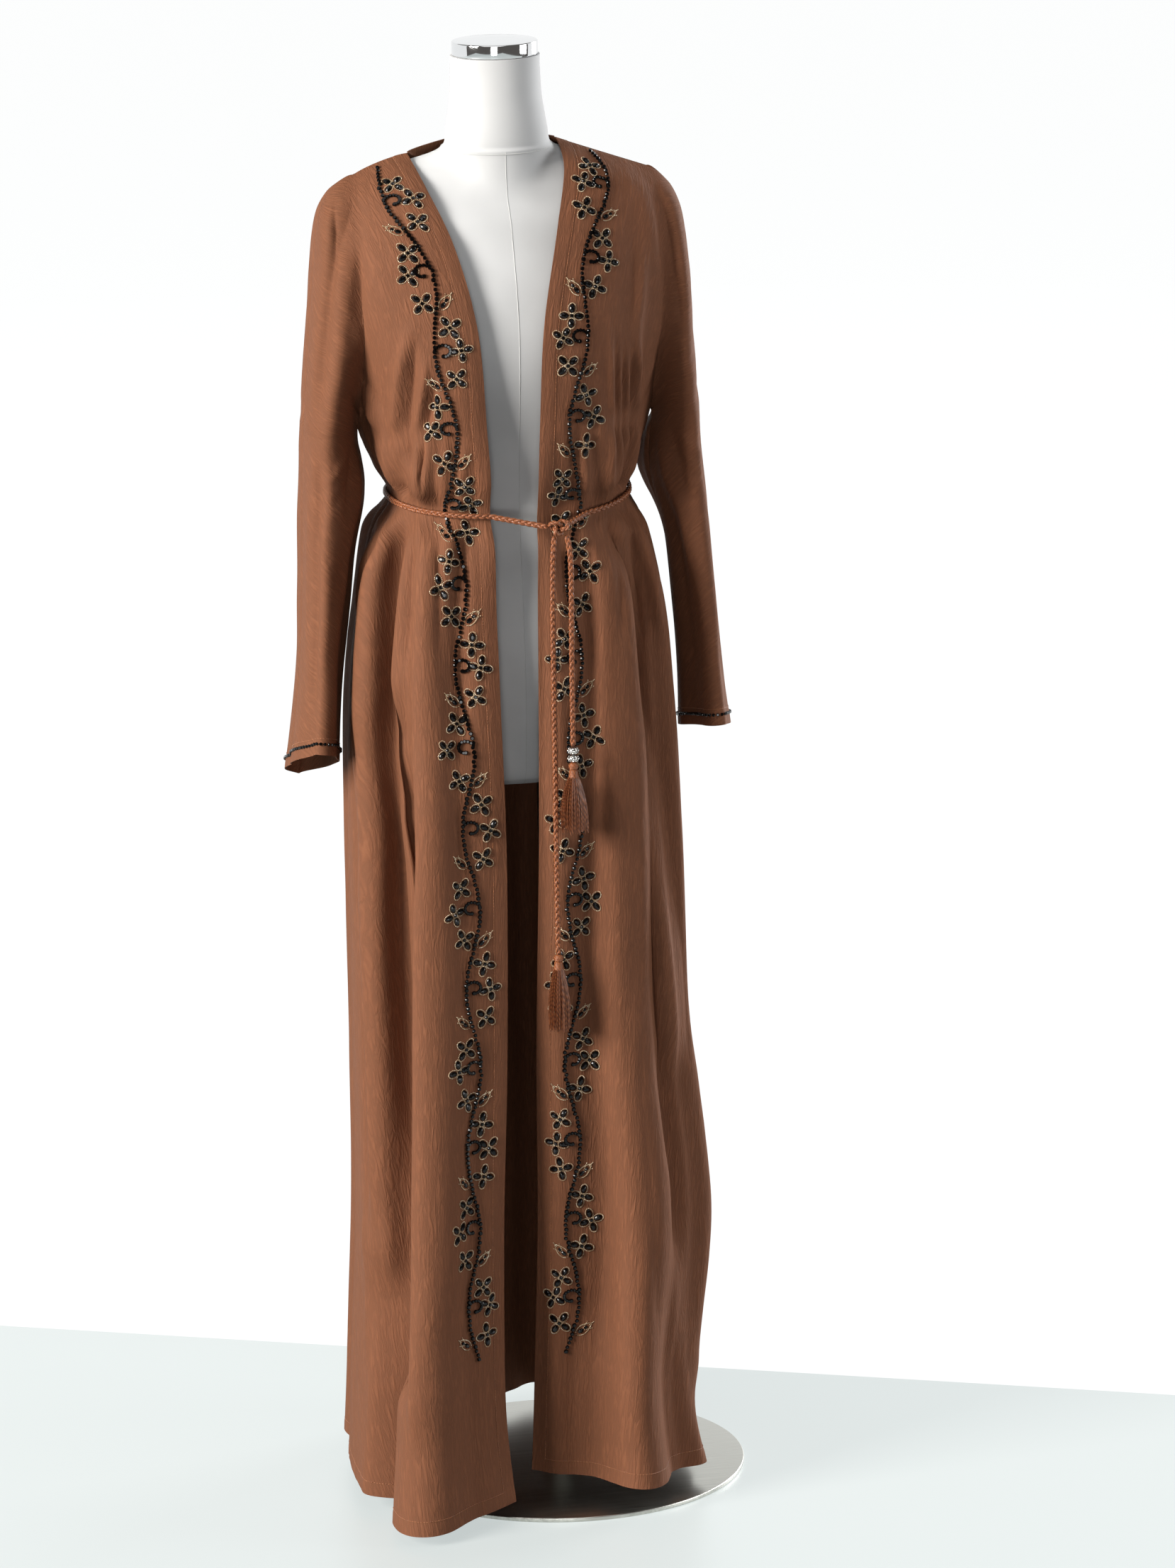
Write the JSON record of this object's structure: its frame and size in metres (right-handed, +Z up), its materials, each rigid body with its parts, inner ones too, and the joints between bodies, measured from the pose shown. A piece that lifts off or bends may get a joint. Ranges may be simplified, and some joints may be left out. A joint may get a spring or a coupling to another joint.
{
  "type": "abaya cloak on a dress form",
  "caption": "Long open-front abaya cloak with kimono-cut sleeves and a braided, tasselled cord belt, on a limbless covered dress form with a pole and a round steel base.",
  "frame": {"origin": "middle of the base plate's underside, on the floor", "axes": "+Z up, -Y the cloak's front, +X the viewer's right, which is the wearer's left"},
  "size_m": [0.487, 0.4463, 1.6003],
  "materials": {
    "crinkled_crepe": "matt crinkled crepe, warm brown",
    "braided_cord": "satin braided cord, copper brown",
    "silver_filigree": "antique silver filigree",
    "form_cover": "smooth white jersey cover",
    "cap_chrome": "polished",
    "brushed_steel": "fine brushed"
  },
  "bodies": {
    "root": {"front_right": "crinkled_crepe", "front_left": "crinkled_crepe", "back": "crinkled_crepe", "belt_round_waist": "braided_cord", "belt_knot": "braided_cord", "belt_end_long": "braided_cord", "belt_end_short": "braided_cord", "tassel_long": "braided_cord", "tassel_short": "braided_cord", "belt_bead_upper": "silver_filigree", "belt_bead_lower": "silver_filigree", "dress_form": "form_cover", "neck_cap": "cap_chrome", "stand_pole": "brushed_steel", "pole_foot": "brushed_steel", "base_plate": "brushed_steel"}
  },
  "joints": []
}
